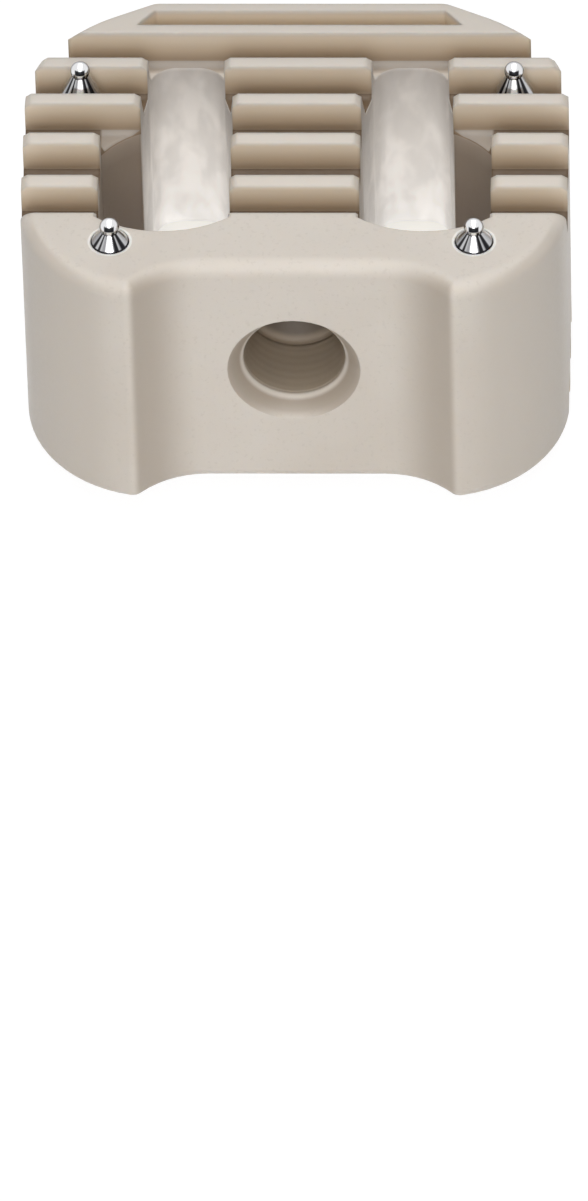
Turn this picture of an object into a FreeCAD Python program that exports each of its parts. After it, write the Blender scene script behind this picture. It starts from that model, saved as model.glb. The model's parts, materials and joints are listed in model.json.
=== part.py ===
"""A spinal interbody cage: one milled plastic body and four pressed-in metal spike pins.

Millimetres. X is left to right, Y runs from the scooped front face to the back, Z is up. The origin
lies under the middle of the cage, level with the lower spike tips that the cage stands on.
The upper and the lower face are alike: a flat front land, then rows of teeth on a low dome.
"""

import FreeCAD
import Part

import math
import os

# Plan outline of the body
cage_width = 16.0
cage_depth = 13.05
front_corner_radius = 3.9
horn_from_side = 3.35
horn_edge_radius = 0.4
scoop_depth = 1.0
scoop_flat_width = 5.2
rear_corner_from_rear = 5.05
rear_corner_radius = 5.0
rear_slant_angle = 32.5
rear_slant_edge_radius = 0.8

# Upper and lower faces
land_height = 8.5
land_length = 3.35
dome_radius = 24.0
dome_rise = 0.2

# Teeth: a flat crest, an upright front wall, a flat groove floor and a ramp behind
tooth_rows = 5
crest_width = 0.45
groove_depth = 1.15
tooth_back_angle = 19.5
groove_corner_chamfer = 0.12
rear_crest_width = 0.65
rear_groove_width = 0.75
rear_groove_depth = 0.85
rear_groove_end_from_side = 3.2
rear_groove_end_slant = 0.5

# Graft windows, one each side of a rib: a slot that is wider in front of one tooth row and narrower
# behind that row, and ends in the last deep groove
rib_width = 3.8
side_wall = 2.25
window_end_before_wall = 0.21
window_end_corner_radius = 0.8
window_neck_inner_inset = 0.28
window_neck_outer_inset = 0.17
window_neck_slant_gap = 0.1
window_step_width = 1.15
window_step_behind_crest = 0.26
window_step_bow = 0.1
window_step_row = 3
window_front_inset = 0.12
window_front_bow = 0.6

# Blind hole for the insertion tool, in the middle of the scoop
tool_axis_above_middle = 0.17
tool_bore_diameter = 3.0
tool_bore_depth = 2.85
tool_mouth_diameter = 3.9
tool_mouth_depth = 0.57
tool_drill_angle = 118.0

# Spike pins, pressed right through the body
pin_diameter = 1.12
pin_press_gap = 0.01
front_pin_from_side = 2.69
front_pin_from_front = 2.12
rear_pin_from_side = 1.615
rear_pin_row = 3
spike_reach = 0.84
spike_neck_diameter = 0.48
spike_ball_diameter = 0.58
front_pin_taper = 0.4
rear_pin_taper = 0.65

# Edges where the outer walls and the window walls meet the upper and lower faces
front_edge_radius = 0.45
rear_edge_chamfer = 0.25
crest_end_chamfer = 0.18
window_front_chamfer = 0.08

half_width = cage_width / 2
half_height = land_height / 2
front_y = -cage_depth / 2
rear_y = cage_depth / 2
land_rear_y = front_y + land_length
scoop_y = front_y + scoop_depth
teeth_rear_y = rear_y - rear_crest_width - rear_groove_width
tooth_pitch = (teeth_rear_y - land_rear_y) / tooth_rows
dome_peak_y = (land_rear_y + rear_y) / 2
pin_radius = pin_diameter / 2
mid_z = half_height + spike_reach
over = 2.0
near = 1e-4


def vec(x, y, z=0.0):
    return FreeCAD.Vector(x, y, z)


def line(a, b):
    return Part.LineSegment(a, b).toShape()


def arc(a, middle, b):
    return Part.Arc(a, middle, b).toShape()


def on_circle(center, radius, angle):
    turn = math.radians(angle)
    return center + vec(radius * math.cos(turn), radius * math.sin(turn))


def turned_arc(center, radius, start_angle, end_angle):
    """An arc in the XY plane about a centre, between two angles in degrees."""
    angles = (start_angle, (start_angle + end_angle) / 2, end_angle)
    return arc(*(on_circle(center, radius, angle) for angle in angles))


def bowed_arc(a, b, bow):
    """An arc from a to b that bulges to the right of that direction by bow."""
    run = b - a
    side = vec(run.y, -run.x)
    side.normalize()
    return arc(a, (a + b) / 2 + side * bow, b)


def wire_of(edges):
    return Part.Wire(Part.__sortEdges__(edges))


def prism(edges, height):
    """A solid from a closed outline in the XY plane, half above that plane and half below."""
    face = Part.Face(wire_of(edges))
    face.translate(vec(0, 0, -height / 2))
    return face.extrude(vec(0, 0, height))


def turned(edges):
    """A solid turned about the Y axis from a closed outline in the XY plane."""
    return Part.Face(wire_of(edges)).revolve(vec(0, 0), vec(0, 1), 360)


def polyline(points):
    return [line(a, b) for a, b in zip(points, points[1:])]


def left_and_right(shape):
    return [shape, shape.mirror(vec(0, 0, 0), vec(1, 0, 0))]


def above_and_below(shape):
    return [shape, shape.mirror(vec(0, 0, 0), vec(0, 0, 1))]


def crest_y(row):
    """Rear edge of a tooth's crest. Row 0 is the rear edge of the front land."""
    return land_rear_y + row * tooth_pitch


def front_wall_y(row):
    return crest_y(row) - crest_width


def dome_z(y):
    """Height of the crests above the middle plane."""
    drop = dome_radius - math.sqrt(dome_radius**2 - (y - dome_peak_y) ** 2)
    return half_height + dome_rise - drop


# The flat land gives way to the dome inside the first groove, where neither is left standing
dome_start_y = (land_rear_y + front_wall_y(1)) / 2


def top_z(y):
    """Height of the upper face before the grooves are cut."""
    return half_height if y < dome_start_y else dome_z(y)


def front_corner():
    """Centre of the bulging front corner, and the angle at which the scoop cuts it off."""
    center = vec(half_width - front_corner_radius, front_y + front_corner_radius)
    horn_x = half_width - horn_from_side
    return center, -math.degrees(math.acos((horn_x - center.x) / front_corner_radius))


def horn_point():
    center, horn_angle = front_corner()
    return on_circle(center, front_corner_radius, horn_angle)


def rear_corner():
    """Centre of the rear corner, then both ends of the slanted edge that follows it."""
    center = vec(half_width - rear_corner_radius, rear_y - rear_corner_from_rear)
    start = on_circle(center, rear_corner_radius, 90.0 - rear_slant_angle)
    run = (rear_y - start.y) / math.tan(math.radians(rear_slant_angle))
    return center, start, vec(start.x - run, rear_y)


def scoop_bend():
    """The bend from the end of the scoop's flat bottom to the horn, tangent to the flat."""
    flat_end = vec(scoop_flat_width / 2, scoop_y)
    to_horn = horn_point() - flat_end
    radius = -(to_horn.Length**2) / (2 * to_horn.y)
    horn_angle = 90.0 - math.degrees(math.asin(to_horn.x / radius))
    return turned_arc(flat_end - vec(0, radius), radius, horn_angle, 90.0)


def outline_edges():
    """The plan: a scoop between two horns, bulging front corners, straight sides, slanted rear."""
    front_center, horn_angle = front_corner()
    rear_center, slant_start, slant_end = rear_corner()
    side_front = vec(half_width, front_center.y)
    side_rear = vec(half_width, rear_center.y)
    right = [
        scoop_bend(),
        turned_arc(front_center, front_corner_radius, horn_angle, 0.0),
        line(side_front, side_rear),
        turned_arc(rear_center, rear_corner_radius, 0.0, 90.0 - rear_slant_angle),
        line(slant_start, slant_end),
    ]
    left = [edge.mirror(vec(0, 0, 0), vec(1, 0, 0)) for edge in right]
    half_flat = scoop_flat_width / 2
    middle = [
        line(vec(-half_flat, scoop_y), vec(half_flat, scoop_y)),
        line(vec(-slant_end.x, rear_y), slant_end),
    ]
    return right + left + middle


def window_edges():
    """The right-hand window's plan."""
    inner_x = rib_width / 2
    outer_x = half_width - side_wall
    slot_x = outer_x - window_step_width
    window_front_y = land_rear_y - window_front_inset
    rib_front = vec(inner_x, window_front_y)
    outer_front = vec(outer_x, window_front_y)
    step_front = vec(outer_x, crest_y(window_step_row - 1) + window_step_behind_crest)
    step_rear = vec(slot_x, front_wall_y(window_step_row))

    # The sides slant inwards between two tooth rows, then run on to the rounded rear corners
    slant_front_y = crest_y(window_step_row) + window_neck_slant_gap
    slant_rear_y = front_wall_y(window_step_row + 1) - window_neck_slant_gap
    end_y = front_wall_y(tooth_rows) - window_end_before_wall
    corner_y = end_y - window_end_corner_radius
    neck_inner_x = inner_x + window_neck_inner_inset
    neck_outer_x = slot_x - window_neck_outer_inset
    inner_center = vec(neck_inner_x + window_end_corner_radius, corner_y)
    outer_center = vec(neck_outer_x - window_end_corner_radius, corner_y)
    inner_side = [
        vec(neck_inner_x, corner_y),
        vec(neck_inner_x, slant_rear_y),
        vec(inner_x, slant_front_y),
        rib_front,
    ]
    outer_side = [
        step_rear,
        vec(slot_x, slant_front_y),
        vec(neck_outer_x, slant_rear_y),
        vec(neck_outer_x, corner_y),
    ]
    rear = [
        turned_arc(outer_center, window_end_corner_radius, 0.0, 90.0),
        line(vec(outer_center.x, end_y), vec(inner_center.x, end_y)),
        turned_arc(inner_center, window_end_corner_radius, 90.0, 180.0),
    ]
    front = [
        bowed_arc(rib_front, outer_front, window_front_bow),
        line(outer_front, step_front),
        bowed_arc(step_front, step_rear, window_step_bow),
    ]
    return polyline(inner_side) + front + polyline(outer_side) + rear


def vertical_edges_at(solid, points):
    found = []
    for edge in solid.Edges:
        middle = edge.CenterOfMass
        upright = edge.BoundBox.XLength < near and edge.BoundBox.YLength < near
        if upright and any(math.hypot(middle.x - p.x, middle.y - p.y) < near for p in points):
            found.append(edge)
    return found


def plan_block():
    """The outline as a block that is taller than the cage, with its upright corners rounded."""
    block = prism(outline_edges(), land_height + 2 * over)
    slant_end = rear_corner()[2]
    for corner, radius in ((horn_point(), horn_edge_radius), (slant_end, rear_slant_edge_radius)):
        pair = [corner, vec(-corner.x, corner.y)]
        block = block.makeFillet(radius, vertical_edges_at(block, pair))
    return block


def domed_slab():
    """Everything between the upper and the lower face, across the whole width."""
    start_y = front_y - over
    end_y = rear_y + over

    def at(y, z):
        return vec(-half_width - over, y, z)

    def face_edges(up):
        return [
            line(at(start_y, up * half_height), at(dome_start_y, up * half_height)),
            line(at(dome_start_y, up * half_height), at(dome_start_y, up * dome_z(dome_start_y))),
            arc(
                at(dome_start_y, up * dome_z(dome_start_y)),
                at(dome_peak_y, up * dome_z(dome_peak_y)),
                at(end_y, up * dome_z(end_y)),
            ),
        ]

    ends = [
        line(at(start_y, -half_height), at(start_y, half_height)),
        line(at(end_y, -dome_z(end_y)), at(end_y, dome_z(end_y))),
    ]
    side = Part.Face(wire_of(face_edges(1) + face_edges(-1) + ends))
    return side.extrude(vec(cage_width + 2 * over, 0, 0))


def tooth_groove(row):
    """The groove in front of a tooth row: upright at the tooth, ramped up to the row before."""
    wall_y = front_wall_y(row)
    floor_z = dome_z(crest_y(row)) - groove_depth
    back_y = crest_y(row - 1)
    back_z = top_z(back_y)
    ramp_run = (back_z - floor_z) * math.tan(math.radians(tooth_back_angle))
    high_z = half_height + over
    profile = [
        (wall_y, high_z),
        (wall_y, floor_z),
        (back_y + ramp_run, floor_z),
        (back_y, back_z),
        (back_y, high_z),
    ]
    corners = [vec(-half_width - over, y, z) for y, z in profile]
    bar = Part.Face(wire_of(polyline(corners + corners[:1]))).extrude(vec(cage_width + 2 * over, 0, 0))
    corner = vec(0, wall_y, floor_z)
    corner_edges = [edge for edge in bar.Edges if (edge.CenterOfMass - corner).Length < near]
    return bar.makeChamfer(groove_corner_chamfer, corner_edges)


def rear_groove():
    """The last groove is shallow, and its slanted ends stop inside the rear corners."""
    front_half = half_width - rear_groove_end_from_side
    rear_half = front_half - rear_groove_end_slant
    rear_wall_y = teeth_rear_y + rear_groove_width
    corners = [
        vec(-front_half, teeth_rear_y),
        vec(front_half, teeth_rear_y),
        vec(rear_half, rear_wall_y),
        vec(-rear_half, rear_wall_y),
    ]
    face = Part.Face(wire_of(polyline(corners + corners[:1])))
    face.translate(vec(0, 0, dome_z(teeth_rear_y) - rear_groove_depth))
    return face.extrude(vec(0, 0, rear_groove_depth + over))


def rim_edges(body, plan_wire, lowest_y, highest_y):
    """Edges of the upper and lower faces that lie over a plan wire, within a stretch of Y."""
    found = []
    for edge in body.Edges:
        middle = edge.valueAt((edge.FirstParameter + edge.LastParameter) / 2)
        on_face = abs(abs(middle.z) - top_z(middle.y)) < near
        if not on_face or not lowest_y < middle.y < highest_y:
            continue
        if Part.Vertex(middle.x, middle.y, 0).distToShape(plan_wire)[0] < near:
            found.append(edge)
    return found


def eased_rims(body):
    """Rounds the land's outer edge, and breaks the edges of the teeth, the rear and the windows."""
    outline = plan_block().slice(vec(0, 0, 1), 0)[0]
    windows = Part.Compound(left_and_right(wire_of(window_edges())))
    last_wall_y = front_wall_y(tooth_rows)
    body = body.makeFillet(
        front_edge_radius, rim_edges(body, outline, front_y - over, land_rear_y)
    )
    for chamfer, plan, lowest_y, highest_y in (
        (rear_edge_chamfer, outline, last_wall_y, rear_y + over),
        (crest_end_chamfer, outline, land_rear_y, last_wall_y),
        (crest_end_chamfer, windows, land_rear_y, rear_y),
        (window_front_chamfer, windows, front_y, land_rear_y),
    ):
        body = body.makeChamfer(chamfer, rim_edges(body, plan, lowest_y, highest_y))
    return body


def tool_hole():
    """A blind drilled hole with a flared mouth, running back from the scoop."""
    bore_radius = tool_bore_diameter / 2
    mouth_radius = tool_mouth_diameter / 2
    tip = bore_radius / math.tan(math.radians(tool_drill_angle / 2))
    points = [
        vec(0, scoop_y - over),
        vec(mouth_radius, scoop_y - over),
        vec(mouth_radius, scoop_y),
        vec(bore_radius, scoop_y + tool_mouth_depth),
        vec(bore_radius, scoop_y + tool_bore_depth),
        vec(0, scoop_y + tool_bore_depth + tip),
    ]
    hole = turned(polyline(points + points[:1]))
    hole.translate(vec(0, 0, tool_axis_above_middle))
    return hole


def pins():
    """Pin names with their places and tapers: the front pair in the land, the rear pair in a groove."""
    front_x = half_width - front_pin_from_side
    rear_x = half_width - rear_pin_from_side
    front_pin_y = front_y + front_pin_from_front
    rear_pin_y = (crest_y(rear_pin_row) + front_wall_y(rear_pin_row + 1)) / 2
    return {
        "spike_pin_front_left": (vec(-front_x, front_pin_y), front_pin_taper),
        "spike_pin_front_right": (vec(front_x, front_pin_y), front_pin_taper),
        "spike_pin_rear_left": (vec(-rear_x, rear_pin_y), rear_pin_taper),
        "spike_pin_rear_right": (vec(rear_x, rear_pin_y), rear_pin_taper),
    }


def pin_hole(place):
    length = land_height + 2 * over
    return Part.makeCylinder(pin_radius + pin_press_gap, length, place - vec(0, 0, length / 2))


def spike_pin(taper):
    """A turned pin with the same spike at both ends: a taper that ends in a ball."""
    ball_radius = spike_ball_diameter / 2
    ball_center = vec(0, mid_z - ball_radius)
    neck_angle = -math.degrees(math.acos(spike_neck_diameter / spike_ball_diameter))
    neck = on_circle(ball_center, ball_radius, neck_angle)
    shoulder = vec(pin_radius, neck.y - taper)
    upper = [line(shoulder, neck), turned_arc(ball_center, ball_radius, neck_angle, 90.0)]
    lower = [edge.mirror(vec(0, 0), vec(0, 1)) for edge in upper]
    shank = line(vec(pin_radius, -shoulder.y), shoulder)
    axis = line(vec(0, -mid_z), vec(0, mid_z))
    pin = turned(upper + lower + [shank, axis])
    pin.rotate(vec(0, 0), vec(1, 0), 90)
    return pin


def cage_body():
    body = plan_block().common(domed_slab())
    cuts = left_and_right(prism(window_edges(), land_height + 2 * over))
    for row in range(1, tooth_rows + 1):
        cuts += above_and_below(tooth_groove(row))
    cuts += above_and_below(rear_groove())
    body = eased_rims(body.cut(cuts).removeSplitter().Solids[0])
    holes = [pin_hole(place) for place, _ in pins().values()]
    return body.cut(holes + [tool_hole()])


def export(name, shape):
    """Writes one solid, lifted so that the lower spike tips are at zero height."""
    shape = shape.copy()
    shape.translate(vec(0, 0, mid_z))
    solid = shape.Solids[0]
    print(name, "valid", solid.isValid(), "solids", len(shape.Solids), "volume", round(solid.Volume, 3))
    solid.exportStep(os.path.join("parts", name + ".step"))


os.makedirs("parts", exist_ok=True)
export("cage_body", cage_body())
for pin_name, (pin_place, pin_taper) in pins().items():
    pin = spike_pin(pin_taper)
    pin.translate(pin_place)
    export(pin_name, pin)
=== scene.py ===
import json
import math

import bpy
import numpy as np
from mathutils import Matrix, Vector


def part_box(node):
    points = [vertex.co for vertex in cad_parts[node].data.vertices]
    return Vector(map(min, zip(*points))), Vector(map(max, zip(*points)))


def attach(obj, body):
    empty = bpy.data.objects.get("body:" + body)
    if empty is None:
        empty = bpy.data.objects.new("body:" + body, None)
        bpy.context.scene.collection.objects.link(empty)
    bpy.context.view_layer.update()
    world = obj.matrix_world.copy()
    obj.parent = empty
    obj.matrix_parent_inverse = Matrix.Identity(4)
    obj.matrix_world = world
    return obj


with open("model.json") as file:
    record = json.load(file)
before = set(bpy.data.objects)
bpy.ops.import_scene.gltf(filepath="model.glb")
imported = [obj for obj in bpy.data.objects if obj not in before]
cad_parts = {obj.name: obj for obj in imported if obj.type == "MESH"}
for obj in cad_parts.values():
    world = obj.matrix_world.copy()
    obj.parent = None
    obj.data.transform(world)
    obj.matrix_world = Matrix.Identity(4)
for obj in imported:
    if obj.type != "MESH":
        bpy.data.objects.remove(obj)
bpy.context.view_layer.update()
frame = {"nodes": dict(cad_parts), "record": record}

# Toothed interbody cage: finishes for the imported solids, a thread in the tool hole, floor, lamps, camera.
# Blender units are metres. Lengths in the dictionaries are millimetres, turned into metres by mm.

mm = 0.001
nodes = frame["nodes"]
mounts = {mount["name"]: mount for mount in frame["record"]["mounts"]}
bodyLow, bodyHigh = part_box("cage_body")
pinNames = sorted(name for name in nodes if name.startswith("spike_pin"))


def linear(red, green, blue):
    # a colour written as on a screen, 0 to 255, to the linear values that sockets take
    values = (((v / 255 + 0.055) / 1.055) ** 2.4 if v > 10 else v / 3294 for v in (red, green, blue))
    return (*values, 1.0)


black = linear(0, 0, 0)
white = linear(255, 255, 255)


def newObject(name, data):
    thing = bpy.data.objects.new(name, data)
    bpy.context.scene.collection.objects.link(thing)
    return thing


def direction(azimuth, elevation):
    # away from the object, in degrees, with azimuth 0 before its front
    turn, tilt = math.radians(azimuth), math.radians(elevation)
    return Vector((math.sin(turn) * math.cos(tilt), -math.cos(turn) * math.cos(tilt), math.sin(tilt)))


def addNode(tree, kind, inputs=None, **settings):
    node = tree.nodes.new(kind)
    for name, value in settings.items():
        setattr(node, name, value)
    for name, value in (inputs or {}).items():
        node.inputs[name].default_value = value
    return node


def link(tree, source, target):
    tree.links.new(source, target)


def emptyMaterial(name):
    material = bpy.data.materials.new(name)
    material.use_nodes = True
    material.node_tree.nodes.clear()
    return material, material.node_tree


def newMaterial(name):
    material, tree = emptyMaterial(name)
    surface = addNode(tree, "ShaderNodeBsdfPrincipled")
    output = addNode(tree, "ShaderNodeOutputMaterial")
    link(tree, surface.outputs["BSDF"], output.inputs["Surface"])
    return material, tree, surface


def mapped(tree, vector, scale, location=(0.0, 0.0, 0.0)):
    node = addNode(tree, "ShaderNodeMapping", {"Scale": scale, "Location": location})
    link(tree, vector, node.inputs["Vector"])
    return node.outputs["Vector"]


def inMillimetres(tree, centre=(0.0, 0.0, 0.0)):
    # object coordinates measured in millimetres from a point
    where = addNode(tree, "ShaderNodeTexCoord")
    return mapped(tree, where.outputs["Object"], (1 / mm,) * 3, tuple(-c / mm for c in centre))


def separate(tree, vector):
    node = addNode(tree, "ShaderNodeSeparateXYZ")
    link(tree, vector, node.inputs[0])
    return node.outputs["X"], node.outputs["Y"], node.outputs["Z"]


def noise(tree, place, **inputs):
    node = addNode(tree, "ShaderNodeTexNoise", inputs)
    link(tree, place, node.inputs["Vector"])
    return node.outputs["Fac"]


def mathNode(tree, operation, first, second=None):
    node = addNode(tree, "ShaderNodeMath", operation=operation)
    for socket, value in zip(node.inputs, (first, second)):
        if value is None:
            continue
        if isinstance(value, (int, float)):
            socket.default_value = value
        else:
            link(tree, value, socket)
    return node.outputs["Value"]


def rangeNode(tree, value, low, high, toLow=0.0, toHigh=1.0, kind="SMOOTHSTEP"):
    # a clamped step, smooth unless said otherwise, from toLow at low to toHigh at high
    node = addNode(tree, "ShaderNodeMapRange", interpolation_type=kind)
    for name, number in (("From Min", low), ("From Max", high), ("To Min", toLow), ("To Max", toHigh)):
        node.inputs[name].default_value = number
    link(tree, value, node.inputs["Value"])
    return node.outputs["Result"]


def ramp(tree, value, stops):
    node = addNode(tree, "ShaderNodeValToRGB")
    band = node.color_ramp
    while len(band.elements) < len(stops):
        band.elements.new(0.5)
    for element, (place, colour) in zip(band.elements, stops):
        element.position = place
        element.color = colour
    link(tree, value, node.inputs["Fac"])
    return node.outputs["Color"]


def mixColour(tree, amount, first, second):
    node = addNode(tree, "ShaderNodeMix", data_type="RGBA")
    # of the node's sockets, these three are the factor and the two colours
    for socket, value in zip((node.inputs[0], node.inputs[6], node.inputs[7]), (amount, first, second)):
        if isinstance(value, (int, float, tuple)):
            socket.default_value = value
        else:
            link(tree, value, socket)
    return node.outputs[2]


def product(tree, *factors):
    result = factors[0]
    for factor in factors[1:]:
        result = mathNode(tree, "MULTIPLY", result, factor)
    return result


def within(tree, value, low, high, soft):
    # 1 between low and high, 0 outside, with soft steps at both ends
    up = rangeNode(tree, value, low - soft / 2, low + soft / 2)
    down = rangeNode(tree, value, high - soft / 2, high + soft / 2, 1.0, 0.0)
    return product(tree, up, down)


def inPlan(tree, at, xRange, yRange, xSoft, ySoft):
    # 1 inside a rectangle seen from above, on the left as on the right
    return product(tree, within(tree, at["sideX"], *xRange, xSoft), within(tree, at["y"], *yRange, ySoft))


def planeDistance(tree, across, along, point):
    # distance from a point in the plane of two coordinates
    flat = addNode(tree, "ShaderNodeCombineXYZ")
    link(tree, across, flat.inputs["X"])
    link(tree, along, flat.inputs["Y"])
    away = addNode(tree, "ShaderNodeVectorMath", operation="DISTANCE")
    link(tree, flat.outputs[0], away.inputs[0])
    away.inputs[1].default_value = (*point, 0.0)
    return away.outputs["Value"]


peek = {
    "ivory": linear(216, 208, 198),
    "cloud": linear(210, 201, 190),  # slow drift of colour through the bar
    "cloudPerMm": 0.16, "cloudRange": (0.35, 0.65),
    "speckle": linear(196, 187, 176),
    "specklePerMm": 6.5, "speckleRange": (0.56, 0.7), "speckleShare": 0.32,
    "grainPerMm": 9.0, "grainRange": (0.3, 0.7), "grainHeight": 0.006,
    "roughness": (0.42, 0.54),
    "softEdge": 0.11,
    "glowDepth": 0.35,  # how far light scatters under the surface
    "holeRing": linear(246, 242, 235), "holeRingWidth": 0.11,
}

# painted shade on faces of the front part: a tone sets in with the share by which a face looks inwards, and
# with y
shadedFrontParts = {
    "scoopSlope": {"tone": linear(184, 173, 160), "turn": (0.05, 0.62), "y": (-3.22, -3.42)},
    "corner": {"tone": linear(203, 194, 183), "turn": (-0.2, -0.5), "y": (-3.22, -4.12)},
}

# painted shade on the toothed faces: the deeper in a groove, the darker and browner the colour
teeth = {
    "middleZ": 5.09,
    "crownHeight": 4.45, "crownY": 1.355, "domeRadius": 24.0,  # the highest crest over the middle plane
    "fromY": -3.12, "toY": 6.2,
    "grooveDepth": 1.15,
    "levelTurn": (0.12, 0.3), "frontTurn": (-0.3, -0.5),  # the normal's z and y where the tones set in
    "blend": 0.04,  # width of the soft steps at the ends of the toothed faces
    "softEdge": 0.2, "softEdgeFade": 0.2,  # the front's softEdge turns into this one before fromY
    "tones": [(0.0, linear(216, 208, 198)), (0.26, linear(214, 202, 185)),
              (0.57, linear(198, 179, 156)), (1.0, linear(148, 127, 105))],
    "glow": [(0.0, black), (0.12, (0.09, 0.06, 0.025, 1.0)),  # painted glow: warm emission near the tops of the teeth, as if light came through them
             (0.5, (0.03, 0.02, 0.008, 1.0)), (1.0, black)],
    "floor": linear(110, 90, 68), "floorDepth": (0.8, 1.05),
    "ledge": linear(168, 158, 147),  # painted shade on groove floors is paler where a window ends or steps in
    "ledgeSoft": (0.1, 0.03),
}

# painted light on the rear part of a window, in plan: its walls, grey with soft blotches, carry a painted
# glow that grows lower down, as if lit from below
paintedWindowLight = {
    "innerX": (1.9, 2.18), "outerX": (4.6, 4.43),  # before and behind the slanted stretch
    "slantY": (1.905, 2.915),
    "frontY": 1.36,
    "cornerRadius": 0.8, "cornerY": 3.665,
    "lowZ": 2.1, "highZ": 8.4,
    "skin": 0.02,  # margin past the edge, so that the wall itself counts as inside
    "wall": linear(196, 190, 184),
    "streak": linear(184, 178, 172),
    "blotchDepth": 0.2, "blotchRange": (0.36, 0.66),
    "blotchPerMm": 1.25, "blotchStretch": (1.0, 1.0, 0.55),
    "frontShare": 0.45,  # of the glow, at frontY; behind the slant the walls have all of it
    "sideShare": 0.6, "sideTurn": (0.5, 1.0),
    "glow": [(0.0, linear(214, 213, 211)), (0.12, linear(194, 192, 189)),
             (0.5, linear(169, 166, 162)), (1.0, linear(74, 71, 68))],
    "lip": linear(207, 211, 210),  # painted glow on the lower tooth, seen through the window's lower end
    "lipY": (4.3, 4.9), "lipZ": (1.1, 1.5), "lipSoft": 0.1,
    "ledgeX": (2.0, 4.5), "ledgeY": (4.3, 4.72),
}

# the wide front part of a window, its wall and step, in the shade
shade = {
    "x": (4.62, 5.77), "y": (-3.2, 1.35), "soft": 0.02,
    "tones": [(0.0, linear(180, 165, 150)), (0.25, linear(158, 143, 128)), (1.0, linear(158, 143, 130))],
    "fromDepth": 1.18, "reach": 3.0,
    "ledgeY": (0.15, 1.36),
}

# lengths along the hole are measured from the bore's front and from its end; skins are margins round it
toolHole = {
    "bore": linear(176, 160, 141), "boreSkin": 0.02, "boreFrom": (-0.02, 0.12),
    "boreEnd": linear(106, 93, 78), "endFrom": (-0.02, 0.15), "pastEnd": 1.0,
    "rim": linear(214, 205, 194), "rimWidth": 0.13,
    "flare": linear(169, 156, 141), "flareWidth": 0.45, "flareSkin": 0.03,
    "flareReach": (-0.47, 0.3), "flareSoft": 0.2, "flareFade": (1.0, 0.4),
}


def bodyPlaces(tree):
    # what the tones go by: the place, the way a face looks, and the depth under the dome of the crests,
    # crest(y) = crownHeight - (y - crownY)^2 / (2 domeRadius)
    place = inMillimetres(tree)
    x, y, z = separate(tree, place)
    normalX, normalY, normalZ = separate(tree, addNode(tree, "ShaderNodeTexCoord").outputs["Normal"])
    level = rangeNode(tree, mathNode(tree, "ABSOLUTE", normalZ), *teeth["levelTurn"])
    front = rangeNode(tree, normalY, *teeth["frontTurn"])
    fromCrown = mathNode(tree, "SUBTRACT", y, teeth["crownY"])
    dome = product(tree, fromCrown, fromCrown, -0.5 / teeth["domeRadius"])
    crest = mathNode(tree, "ADD", dome, teeth["crownHeight"])
    height = mathNode(tree, "ABSOLUTE", mathNode(tree, "SUBTRACT", z, teeth["middleZ"]))
    depth = mathNode(tree, "SUBTRACT", crest, height)
    lowest, blend = teeth["grooveDepth"], teeth["blend"]
    inTeeth = product(
        tree,
        mathNode(tree, "MAXIMUM", level, front),
        within(tree, y, teeth["fromY"], teeth["toY"], blend),
        rangeNode(tree, depth, lowest + 2 * blend, lowest + blend),
    )
    return {
        "place": place, "x": x, "y": y, "z": z,
        "sideX": mathNode(tree, "ABSOLUTE", x),
        "sideways": mathNode(tree, "ABSOLUTE", normalX),
        "inward": product(tree, normalX, mathNode(tree, "SIGN", x), -1.0),
        "level": level, "front": front, "inTeeth": inTeeth,
        "depth": depth, "depthShare": product(tree, depth, 1 / lowest),
    }


def ivoryTones(tree, at):
    clouds = noise(tree, at["place"], Scale=peek["cloudPerMm"], Detail=3.0)
    colour = mixColour(tree, rangeNode(tree, clouds, *peek["cloudRange"]), peek["ivory"], peek["cloud"])
    speckles = noise(tree, at["place"], Scale=peek["specklePerMm"], Detail=2.0, Roughness=0.7)
    speckled = rangeNode(tree, speckles, *peek["speckleRange"], 0.0, peek["speckleShare"])
    return mixColour(tree, speckled, colour, peek["speckle"])


def grooveShade(tree, at, colour):
    # painted shade: the grooves go darker and browner towards their floors, on every face but the sides
    colour = mixColour(tree, at["inTeeth"], colour, ramp(tree, at["depthShare"], teeth["tones"]))
    # painted shade on the groove floors, darkest there, and paler where a window ends or steps in
    onFloor = product(tree, at["inTeeth"], at["level"], rangeNode(tree, at["depth"], *teeth["floorDepth"]))
    windowEnd = inPlan(tree, at, paintedWindowLight["ledgeX"], paintedWindowLight["ledgeY"], *teeth["ledgeSoft"])
    windowStep = inPlan(tree, at, shade["x"], shade["ledgeY"], *teeth["ledgeSoft"])
    ledge = mathNode(tree, "MAXIMUM", windowEnd, windowStep)
    return mixColour(tree, onFloor, colour, mixColour(tree, ledge, teeth["floor"], teeth["ledge"]))


def frontShade(tree, at, colour):
    # painted shade: the slopes at both ends of the scoop and the round corners are painted a little darker
    # and browner, by the way they face
    for part in shadedFrontParts.values():
        turned = rangeNode(tree, at["inward"], *part["turn"])
        onPart = product(tree, turned, rangeNode(tree, at["y"], *part["y"]))
        colour = mixColour(tree, onPart, colour, part["tone"])
    return colour


def shadeTones(tree, at, colour):
    top, soft = shade["fromDepth"], shade["soft"]
    inShade = product(
        tree,
        inPlan(tree, at, shade["x"], shade["y"], soft, soft),
        rangeNode(tree, at["depth"], top, top + 2 * soft),
    )
    shadeDepth = rangeNode(tree, at["depth"], top, top + shade["reach"], kind="LINEAR")
    return mixColour(tree, inShade, colour, ramp(tree, shadeDepth, shade["tones"]))


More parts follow.
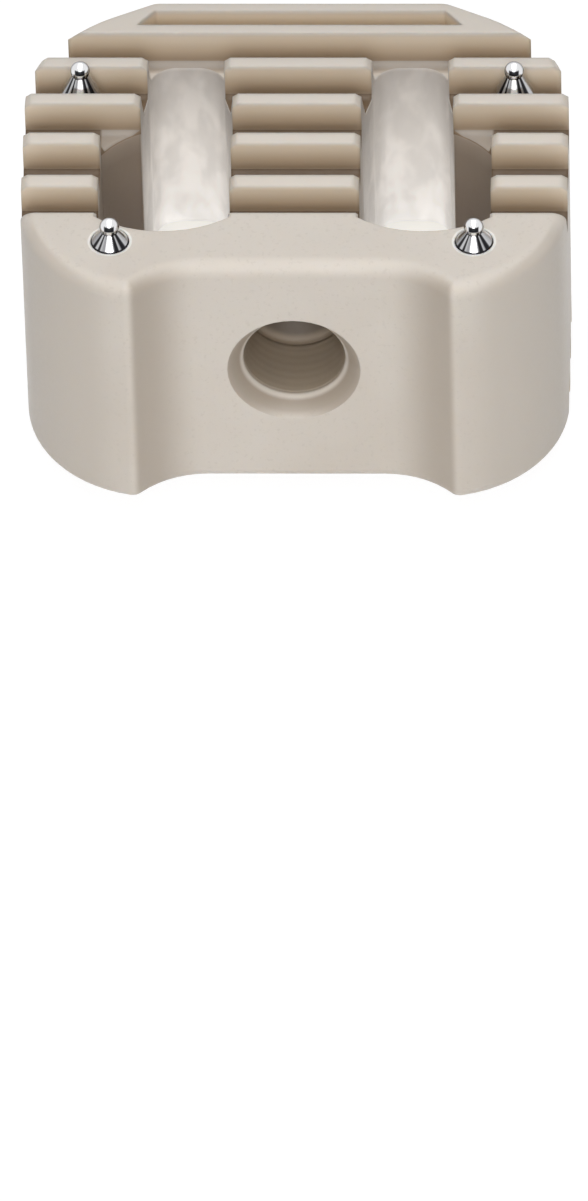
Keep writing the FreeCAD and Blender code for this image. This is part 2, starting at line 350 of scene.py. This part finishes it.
def toolHoleShade(tree, at, colour):
    # painted shade inside the bore, darkest at its end, painted shade on the flare at its mouth and a
    # painted highlight on the rim between them
    mount = mounts["tool_hole"]
    centreX, centreY, centreZ = (value / mm for value in mount["pos_m"])
    radius = mount["dims"]["r_mm"]
    half = mount["dims"]["length_mm"] / 2
    fromAxis = planeDistance(tree, at["x"], at["z"], (centreX, centreZ))
    fromFront = mathNode(tree, "SUBTRACT", at["y"], centreY - half)
    fromEnd = mathNode(tree, "SUBTRACT", at["y"], centreY + half)
    inFlare = product(
        tree,
        mathNode(tree, "LESS_THAN", fromAxis, radius + toolHole["flareWidth"] + toolHole["flareSkin"]),
        within(tree, fromFront, *toolHole["flareReach"], toolHole["flareSoft"]),
    )
    rimEdge, flareEdge = radius + toolHole["rimWidth"], radius + toolHole["flareWidth"]
    flareShare = rangeNode(tree, fromAxis, rimEdge, flareEdge, *toolHole["flareFade"])
    colour = mixColour(tree, product(tree, inFlare, flareShare), colour, toolHole["flare"])
    rimShare = rangeNode(tree, fromAxis, rimEdge, radius + toolHole["rimWidth"] / 3)
    colour = mixColour(tree, product(tree, inFlare, rimShare), colour, toolHole["rim"])
    inBore = product(
        tree,
        mathNode(tree, "LESS_THAN", fromAxis, radius + toolHole["boreSkin"]),
        rangeNode(tree, fromFront, *toolHole["boreFrom"]),
        mathNode(tree, "LESS_THAN", fromEnd, toolHole["pastEnd"]),
    )
    atEnd = rangeNode(tree, fromEnd, *toolHole["endFrom"])
    return mixColour(tree, inBore, colour, mixColour(tree, atEnd, toolHole["bore"], toolHole["boreEnd"]))


def pinHoleHighlights(tree, at, colour):
    # a painted highlight on the broken edge round the holes of the pins, on the left as on the right
    width = peek["holeRingWidth"]
    for name in ("spike_pin_front_right", "spike_pin_rear_right"):
        low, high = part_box(name)
        middle = (low + high) / 2
        away = planeDistance(tree, at["sideX"], at["y"], (middle.x / mm, middle.y / mm))
        edge = (high.x - low.x) / 2 / mm + width
        colour = mixColour(tree, rangeNode(tree, away, edge, edge - width / 2), colour, peek["holeRing"])
    return colour


def rearWindowWalls(tree, at):
    # inside the rear part of a window: a slot whose half width shrinks along the slant, with round corners
    innerX, outerX = (
        rangeNode(tree, at["y"], *paintedWindowLight["slantY"], *ends, kind="LINEAR")
        for ends in (paintedWindowLight["innerX"], paintedWindowLight["outerX"])
    )
    middleX = product(tree, mathNode(tree, "ADD", innerX, outerX), 0.5)
    halfWidth = product(tree, mathNode(tree, "SUBTRACT", outerX, innerX), 0.5)
    fromMiddle = mathNode(tree, "ABSOLUTE", mathNode(tree, "SUBTRACT", at["sideX"], middleX))
    straight = mathNode(tree, "SUBTRACT", halfWidth, paintedWindowLight["cornerRadius"])
    pastSide = mathNode(tree, "SUBTRACT", fromMiddle, straight)
    pastCorner = mathNode(tree, "SUBTRACT", at["y"], paintedWindowLight["cornerY"])
    squares = [
        mathNode(tree, "POWER", mathNode(tree, "MAXIMUM", past, 0.0), 2.0)
        for past in (pastSide, pastCorner)
    ]
    away = mathNode(tree, "SQRT", mathNode(tree, "ADD", *squares))
    return product(
        tree,
        mathNode(tree, "LESS_THAN", away, paintedWindowLight["cornerRadius"] + paintedWindowLight["skin"]),
        mathNode(tree, "GREATER_THAN", at["y"], paintedWindowLight["frontY"]),
    )


def paintWindowLight(tree, at, colour):
    # painted light: the rear walls of a window glow more the lower they reach, with soft blotches, and a
    # painted glow lies on the lip below them
    onRearWall = rearWindowWalls(tree, at)
    blotches = noise(
        tree, mapped(tree, at["place"], paintedWindowLight["blotchStretch"]),
        Scale=paintedWindowLight["blotchPerMm"], Detail=2.5, Roughness=0.5, Distortion=0.25,
    )
    blotch = rangeNode(tree, blotches, *paintedWindowLight["blotchRange"])
    colour = mixColour(tree, onRearWall, colour, mixColour(tree, blotch, paintedWindowLight["streak"], paintedWindowLight["wall"]))
    rise = rangeNode(tree, at["z"], paintedWindowLight["lowZ"], paintedWindowLight["highZ"], kind="LINEAR")
    glow = ramp(tree, rise, paintedWindowLight["glow"])
    glow = mixColour(tree, blotch, mixColour(tree, paintedWindowLight["blotchDepth"], glow, black), glow)
    lipX, lipSoft = (paintedWindowLight["innerX"][0], paintedWindowLight["outerX"][0]), paintedWindowLight["lipSoft"]
    lip = product(
        tree,
        inPlan(tree, at, lipX, paintedWindowLight["lipY"], lipSoft, lipSoft),
        rangeNode(tree, at["z"], *paintedWindowLight["lipZ"]),
        mathNode(tree, "LESS_THAN", at["z"], teeth["middleZ"] / 2),
        mathNode(tree, "SUBTRACT", 1.0, onRearWall),
    )
    glow = mixColour(tree, lip, glow, paintedWindowLight["lip"])
    frontShare = rangeNode(tree, at["y"], paintedWindowLight["frontY"], paintedWindowLight["slantY"][1], paintedWindowLight["frontShare"], 1.0)
    sideShare = rangeNode(tree, at["sideways"], *paintedWindowLight["sideTurn"], 1.0, paintedWindowLight["sideShare"])
    glowing = mathNode(tree, "MAXIMUM", product(tree, onRearWall, frontShare, sideShare), lip)
    return colour, glow, glowing


def grainAndEdges(tree, at, surface):
    # fine grain over softened edges, which are softer on the teeth than on the front
    grain = noise(tree, at["place"], Scale=peek["grainPerMm"], Detail=4.0, Roughness=0.65)
    softEdge = rangeNode(
        tree, at["y"], teeth["fromY"] - teeth["softEdgeFade"], teeth["fromY"],
        peek["softEdge"] * mm, teeth["softEdge"] * mm,
    )
    rounded = addNode(tree, "ShaderNodeBevel", samples=4)
    link(tree, softEdge, rounded.inputs["Radius"])
    bump = addNode(tree, "ShaderNodeBump", {"Strength": 0.5, "Distance": peek["grainHeight"] * mm})
    link(tree, grain, bump.inputs["Height"])
    link(tree, rounded.outputs["Normal"], bump.inputs["Normal"])
    link(tree, bump.outputs["Normal"], surface.inputs["Normal"])
    roughness = rangeNode(tree, grain, *peek["grainRange"], *peek["roughness"])
    link(tree, roughness, surface.inputs["Roughness"])


def makePeek():
    material, tree, surface = newMaterial("ivoryPeek")
    at = bodyPlaces(tree)
    colour = ivoryTones(tree, at)
    for addTones in (grooveShade, frontShade, shadeTones, toolHoleShade, pinHoleHighlights):
        colour = addTones(tree, at, colour)
    colour, glow, glowing = paintWindowLight(tree, at, colour)
    # painted glow: the warm glow on the teeth joins the painted window light, both as emission
    onTooth = product(tree, at["inTeeth"], at["front"], mathNode(tree, "SUBTRACT", 1.0, glowing))
    glow = mixColour(tree, onTooth, glow, ramp(tree, at["depthShare"], teeth["glow"]))
    link(tree, glow, surface.inputs["Emission Color"])
    link(tree, mathNode(tree, "MAXIMUM", glowing, onTooth), surface.inputs["Emission Strength"])
    link(tree, colour, surface.inputs["Base Color"])
    grainAndEdges(tree, at, surface)
    surface.inputs["IOR"].default_value = 1.5
    surface.inputs["Subsurface Weight"].default_value = 0.25
    surface.inputs["Subsurface Scale"].default_value = peek["glowDepth"] * mm
    surface.inputs["Subsurface Radius"].default_value = (1.0, 0.72, 0.45)
    return material


steel = {
    "bright": (0.95, 0.95, 0.96, 1.0),
    "pale": (0.52, 0.52, 0.53, 1.0),
    "grey": (0.34, 0.34, 0.35, 1.0),
    "dark": (0.02, 0.02, 0.022, 1.0),
    "ball": (0.78, 0.78, 0.79, 1.0),
    "roughness": 0.16,
    "ballRadius": 0.29,
    "ballFrom": (0.0, 0.2),  # over the ball's middle, in ball radii, as for the painted black reflection patch
    "patchWide": 0.5, "patchRise": (0.14, 0.62), "patchSoft": 0.12,
    "towardsFront": -0.74, "towardsTop": 0.67,  # painted highlight: the ball is painted bright between front and top
    "footHeight": 0.03, "footSoft": 0.02,  # painted shade: a dark line where a front taper meets the plastic
}

# painted reflection on the ball, from its lower rear side to its bright one, as shares of its width
paintedBallReflection = [(0.0, "pale"), (0.4, "ball"), (0.53, "dark"), (0.6, "dark"), (0.8, "ball")]

# painted reflections round the taper, as shares of a turn with the front at 0.25: where the metal is
# painted dark and light as if it mirrored its surroundings
paintedSteelReflections = [
    (0.00, "grey"), (0.06, "grey"), (0.075, "dark"), (0.10, "dark"), (0.112, "pale"), (0.133, "pale"),
    (0.142, "dark"), (0.157, "dark"), (0.168, "pale"), (0.19, "grey"), (0.208, "grey"), (0.215, "bright"),
    (0.283, "bright"), (0.293, "grey"), (0.305, "dark"), (0.336, "dark"), (0.347, "pale"), (0.36, "grey"),
    (0.372, "dark"), (0.41, "dark"), (0.43, "pale"), (0.52, "grey"), (0.58, "bright"), (0.66, "dark"),
    (0.75, "bright"), (0.84, "grey"), (0.89, "dark"), (0.94, "pale"), (1.00, "grey"),
]


def steelRamp(tree, value, stops):
    return ramp(tree, value, [(spot, steel[tone]) for spot, tone in stops])


def makeSteel(name):
    low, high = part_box(name)
    middle = (low + high) / 2
    corner = name.replace("spike_pin", "").title().replace("_", "")
    material, tree, surface = newMaterial("polishedSteel" + corner)
    place = inMillimetres(tree, middle)
    x, y, z = separate(tree, place)
    height = mathNode(tree, "ABSOLUTE", z)
    angle = addNode(tree, "ShaderNodeTexGradient", gradient_type="RADIAL")
    link(tree, place, angle.inputs["Vector"])
    colour = steelRamp(tree, angle.outputs["Fac"], paintedSteelReflections)

    # painted reflection on the ball: bright, with a dark ring and one black patch low on its front
    ballZ = (high.z - low.z) / 2 / mm - steel["ballRadius"]
    across, back, up = (
        product(tree, value, 1 / steel["ballRadius"])
        for value in (x, y, mathNode(tree, "SUBTRACT", height, ballZ))
    )
    facing = mathNode(
        tree, "ADD", product(tree, back, steel["towardsFront"]), product(tree, up, steel["towardsTop"])
    )
    ball = steelRamp(tree, rangeNode(tree, facing, -1.0, 1.0, kind="LINEAR"), paintedBallReflection)
    colour = mixColour(tree, rangeNode(tree, up, *steel["ballFrom"]), colour, ball)
    paintedReflectionPatch = product(
        tree,
        within(tree, across, -steel["patchWide"], steel["patchWide"], steel["patchSoft"]),
        within(tree, up, *steel["patchRise"], steel["patchSoft"]),
        mathNode(tree, "LESS_THAN", back, 0.0),
    )
    colour = mixColour(tree, paintedReflectionPatch, colour, steel["dark"])
    # painted shade in the gap where a front taper meets the plastic
    if "front" in name:
        land = mounts["upper_endplate"]["pos_m"][2] / mm - middle.z / mm
        lineLow, lineHigh = land - steel["footHeight"], land + steel["footHeight"]
        footShade = within(tree, height, lineLow, lineHigh, steel["footSoft"])
        colour = mixColour(tree, footShade, colour, steel["dark"])
    link(tree, colour, surface.inputs["Base Color"])
    surface.inputs["Metallic"].default_value = 1.0
    surface.inputs["Roughness"].default_value = steel["roughness"]
    return material


def dress(name, material):
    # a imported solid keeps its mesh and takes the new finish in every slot
    mesh = nodes[name].data
    if not mesh.materials:
        mesh.materials.append(material)
    for index in range(len(mesh.materials)):
        mesh.materials[index] = material


peekMaterial = makePeek()
dress("cage_body", peekMaterial)
for pinName in pinNames:
    dress(pinName, makeSteel(pinName))
print("finishes on", len(nodes), "solids")


thread = {
    "pitch": 0.3,
    "height": 0.0025,
    "proud": 0.004,  # how far the thread's roots stand off the wall, so that the two skins never meet
    "sunk": 0.03,  # how far the back of the thread's skin lies inside the wall
    "startInset": 0.1, "endInset": 0.15,
    "fadeTurns": 0.3,  # the thread runs out at both ends over this share of its pitch
    "aroundSteps": 96, "stepsPerPitch": 10,
}


def makeThread():
    # radius(y, turn) = wall - proud - height * fade * (1 + cos(2 pi (y / pitch - turn))) / 2, a helix round
    # the hole's axis; the skin then returns behind the wall, so that it is closed
    mount = mounts["tool_hole"]
    centre = Vector(mount["pos_m"])
    wall = mount["dims"]["r_mm"] * mm
    half = mount["dims"]["length_mm"] * mm / 2
    start = centre.y - half + thread["startInset"] * mm
    end = centre.y + half - thread["endInset"] * mm
    pitch = thread["pitch"] * mm
    along = np.linspace(start, end, int((end - start) / pitch * thread["stepsPerPitch"]))
    around = np.linspace(0, 1, thread["aroundSteps"], endpoint=False)
    depth, turn = np.meshgrid(along, around, indexing="ij")
    fade = np.clip(np.minimum(depth - start, end - depth) / (thread["fadeTurns"] * pitch), 0, 1)
    wave = (1 + np.cos(2 * np.pi * (depth / pitch - turn))) / 2
    inner = wall - thread["height"] * mm * wave * fade - thread["proud"] * mm
    outer = np.full_like(inner, wall + thread["sunk"] * mm)
    radius = np.concatenate([inner, outer[::-1]])
    depth = np.concatenate([depth, depth[::-1]])
    angle = 2 * np.pi * np.concatenate([turn, turn])
    points = np.stack(
        [centre.x + radius * np.sin(angle), depth, centre.z + radius * np.cos(angle)], axis=-1
    )
    return closedGrid("toolHoleThread", points)


def closedGrid(name, points):
    # a grid of points that closes on itself both ways becomes a quad skin
    rows, columns = points.shape[:2]
    row, column = np.meshgrid(np.arange(rows), np.arange(columns), indexing="ij")
    nextRow, nextColumn = (row + 1) % rows, (column + 1) % columns
    places = ((row, column), (row, nextColumn), (nextRow, nextColumn), (nextRow, column))
    corners = np.stack([r * columns + c for r, c in places], axis=-1).reshape(-1, 4)
    mesh = bpy.data.meshes.new(name)
    mesh.from_pydata(points.reshape(-1, 3).tolist(), [], corners.tolist())
    mesh.polygons.foreach_set("use_smooth", np.ones(len(corners), bool))
    mesh.update()
    return newObject(name, mesh)


threadPiece = makeThread()
threadPiece.data.materials.append(peekMaterial)
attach(threadPiece, "root")
print("thread in the tool hole:", len(threadPiece.data.polygons), "quads")


stage = {
    "floorSize": 0.6,  # metres
    "floorColour": (0.9, 0.9, 0.9, 1.0),
    "floorOwnWhite": 0.85,  # share of plain white that a camera or a mirror sees in the floor
    "floorGlow": 1.1,
    "skyStrength": 0.126,
}


def seenDirectly(tree):
    # 1 for camera, mirror and glass rays, 0 for the rays that light the object
    path = addNode(tree, "ShaderNodeLightPath")
    first = mathNode(tree, "MAXIMUM", path.outputs["Is Camera Ray"], path.outputs["Is Glossy Ray"])
    return mathNode(tree, "MAXIMUM", first, path.outputs["Is Transmission Ray"])


def makeFloor():
    half = stage["floorSize"] / 2
    corners = [(-half, -half, 0), (half, -half, 0), (half, half, 0), (-half, half, 0)]
    mesh = bpy.data.meshes.new("floor")
    mesh.from_pydata(corners, [], [(0, 1, 2, 3)])
    floor = newObject("floor", mesh)
    material, tree = emptyMaterial("paleFloor")
    matte = addNode(tree, "ShaderNodeBsdfDiffuse", {"Color": stage["floorColour"]})
    glow = addNode(tree, "ShaderNodeEmission", {"Color": white, "Strength": stage["floorGlow"]})
    mix = addNode(tree, "ShaderNodeMixShader")
    output = addNode(tree, "ShaderNodeOutputMaterial")
    link(tree, product(tree, seenDirectly(tree), stage["floorOwnWhite"]), mix.inputs["Fac"])
    link(tree, matte.outputs[0], mix.inputs[1])
    link(tree, glow.outputs[0], mix.inputs[2])
    link(tree, mix.outputs[0], output.inputs["Surface"])
    mesh.materials.append(material)


def makeSky():
    world = bpy.data.worlds.new("studio")
    bpy.context.scene.world = world
    world.use_nodes = True
    tree = world.node_tree
    tree.nodes.clear()
    background = addNode(tree, "ShaderNodeBackground", {"Color": white})
    output = addNode(tree, "ShaderNodeOutputWorld")
    strength = rangeNode(tree, seenDirectly(tree), 0.0, 1.0, stage["skyStrength"], 1.0)
    link(tree, strength, background.inputs["Strength"])
    link(tree, background.outputs[0], output.inputs["Surface"])


lamps = [  # name, azimuth and elevation in degrees, distance and size in metres, watts
    ("frontSoftbox", 0.0, 40.0, 0.34, 0.14, 0.33),
    ("lowSoftbox", 0.0, 22.0, 0.34, 0.20, 0.18),
    ("topSoftbox", 0.0, 80.0, 0.30, 0.22, 0.40),
    ("rearSoftbox", 180.0, 65.0, 0.30, 0.22, 0.17),
]


def makeLamps():
    middle = (bodyLow + bodyHigh) / 2
    for name, azimuth, elevation, distance, size, power in lamps:
        light = bpy.data.lights.new(name, "AREA")
        light.size = size
        light.energy = power
        lamp = newObject(name, light)
        away = direction(azimuth, elevation)
        lamp.location = middle + away * distance
        lamp.rotation_mode = "QUATERNION"
        lamp.rotation_quaternion = away.to_track_quat("Z", "Y")


shot = {
    "azimuth": 2.455, "elevation": 42.46, "roll": -1.624,
    "distance": 0.5,  # metres
    "pixelsPerMm": 33.89,  # at the aim point, in the 588 by 1201 picture
    "aim": (0.0, -0.07, 5.12),
    "aimPixel": (298.4, 247.55),
    "picture": (588, 1201),
}


def makeCamera():
    data = bpy.data.cameras.new("camera")
    camera = newObject("camera", data)
    bpy.context.scene.camera = camera
    focalPixels = shot["pixelsPerMm"] * shot["distance"] / mm
    data.sensor_width = 36.0
    data.lens = data.sensor_width * focalPixels / max(shot["picture"])
    data.clip_start, data.clip_end = 0.01, 5.0
    back = direction(shot["azimuth"], shot["elevation"])
    roll = math.radians(shot["roll"])
    levelRight = Vector((0, 0, 1)).cross(back).normalized()
    levelUp = back.cross(levelRight)
    right = levelRight * math.cos(roll) + levelUp * math.sin(roll)
    up = levelUp * math.cos(roll) - levelRight * math.sin(roll)
    aimed = Matrix((right, up, back)).transposed()
    # the aim point stands off the picture's middle, so the camera is turned by that much
    offMiddle = Vector((
        shot["aimPixel"][0] - shot["picture"][0] / 2,
        shot["picture"][1] / 2 - shot["aimPixel"][1],
        -focalPixels,
    ))
    swing = offMiddle.rotation_difference(Vector((0, 0, -1))).to_matrix()
    camera.rotation_mode = "QUATERNION"
    camera.rotation_quaternion = (aimed @ swing).to_quaternion()
    camera.location = Vector(shot["aim"]) * mm + back * shot["distance"]


makeFloor()
makeSky()
makeLamps()
makeCamera()
bpy.context.scene.view_settings.view_transform = "Standard"
print("floor, lamps and camera are in place")
